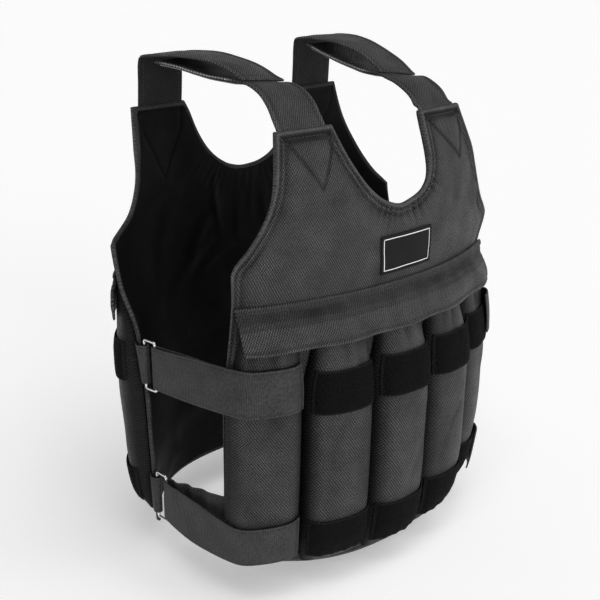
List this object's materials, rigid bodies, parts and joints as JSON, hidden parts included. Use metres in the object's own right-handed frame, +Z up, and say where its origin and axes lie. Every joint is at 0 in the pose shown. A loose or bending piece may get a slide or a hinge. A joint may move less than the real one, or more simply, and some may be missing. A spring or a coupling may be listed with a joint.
{
  "type": "weighted vest",
  "caption": "Weighted training vest: padded front and back panels with filled pockets all round, joined by overlapping shoulder straps and by side straps on metal rings.",
  "frame": {"origin": "the seat under the two shoulder straps, at the height where a wearer's shoulders carry them, on the middle plane from left to right and between the panels", "axes": "+Z up, the vest faces -Y, +X is the right side as seen by someone facing it"},
  "size_m": [0.4332, 0.3425, 0.5523],
  "materials": {
    "cloth": "padded Oxford nylon, charcoal black",
    "pocket_cloth": "Oxford nylon, charcoal black",
    "loop_tape": "matte pile of hook-and-loop tape",
    "hook_tape": "glossy moulded hooks",
    "webbing": "ribbed woven webbing",
    "steel": "nickelled steel wire",
    "woven_patch": "woven badge, bare"
  },
  "bodies": {
    "root": {"front_panel": "cloth", "back_panel": "cloth", "front_flap": "cloth", "back_flap": "cloth", "front_pocket_1": "pocket_cloth", "front_upper_tape_1": "loop_tape", "front_lower_tape_1": "loop_tape", "front_pocket_2": "pocket_cloth", "front_upper_tape_2": "loop_tape", "front_lower_tape_2": "loop_tape", "front_pocket_3": "pocket_cloth", "front_upper_tape_3": "loop_tape", "front_lower_tape_3": "loop_tape", "front_pocket_4": "pocket_cloth", "front_upper_tape_4": "loop_tape", "front_lower_tape_4": "loop_tape", "front_pocket_5": "pocket_cloth", "front_upper_tape_5": "loop_tape", "front_lower_tape_5": "loop_tape", "back_pocket_1": "pocket_cloth", "back_upper_tape_1": "loop_tape", "back_lower_tape_1": "loop_tape", "back_pocket_2": "pocket_cloth", "back_upper_tape_2": "loop_tape", "back_lower_tape_2": "loop_tape", "back_pocket_3": "pocket_cloth", "back_upper_tape_3": "loop_tape", "back_lower_tape_3": "loop_tape", "back_pocket_4": "pocket_cloth", "back_upper_tape_4": "loop_tape", "back_lower_tape_4": "loop_tape", "back_pocket_5": "pocket_cloth", "back_upper_tape_5": "loop_tape", "back_lower_tape_5": "loop_tape", "back_pocket_6": "pocket_cloth", "back_upper_tape_6": "loop_tape", "back_lower_tape_6": "loop_tape", "badge": "woven_patch", "left_shoulder_front_strap": "cloth", "left_shoulder_back_strap": "cloth", "left_shoulder_hook_tape": "hook_tape", "left_upper_side_strap": "webbing", "left_upper_ring": "steel", "left_upper_ring_tab": "webbing", "left_lower_side_strap": "webbing", "left_lower_ring": "steel", "left_lower_ring_tab": "webbing", "right_shoulder_front_strap": "cloth", "right_shoulder_back_strap": "cloth", "right_shoulder_hook_tape": "hook_tape", "right_upper_side_strap": "webbing", "right_upper_ring": "steel", "right_upper_ring_tab": "webbing", "right_lower_side_strap": "webbing", "right_lower_ring": "steel", "right_lower_ring_tab": "webbing"}
  },
  "joints": []
}
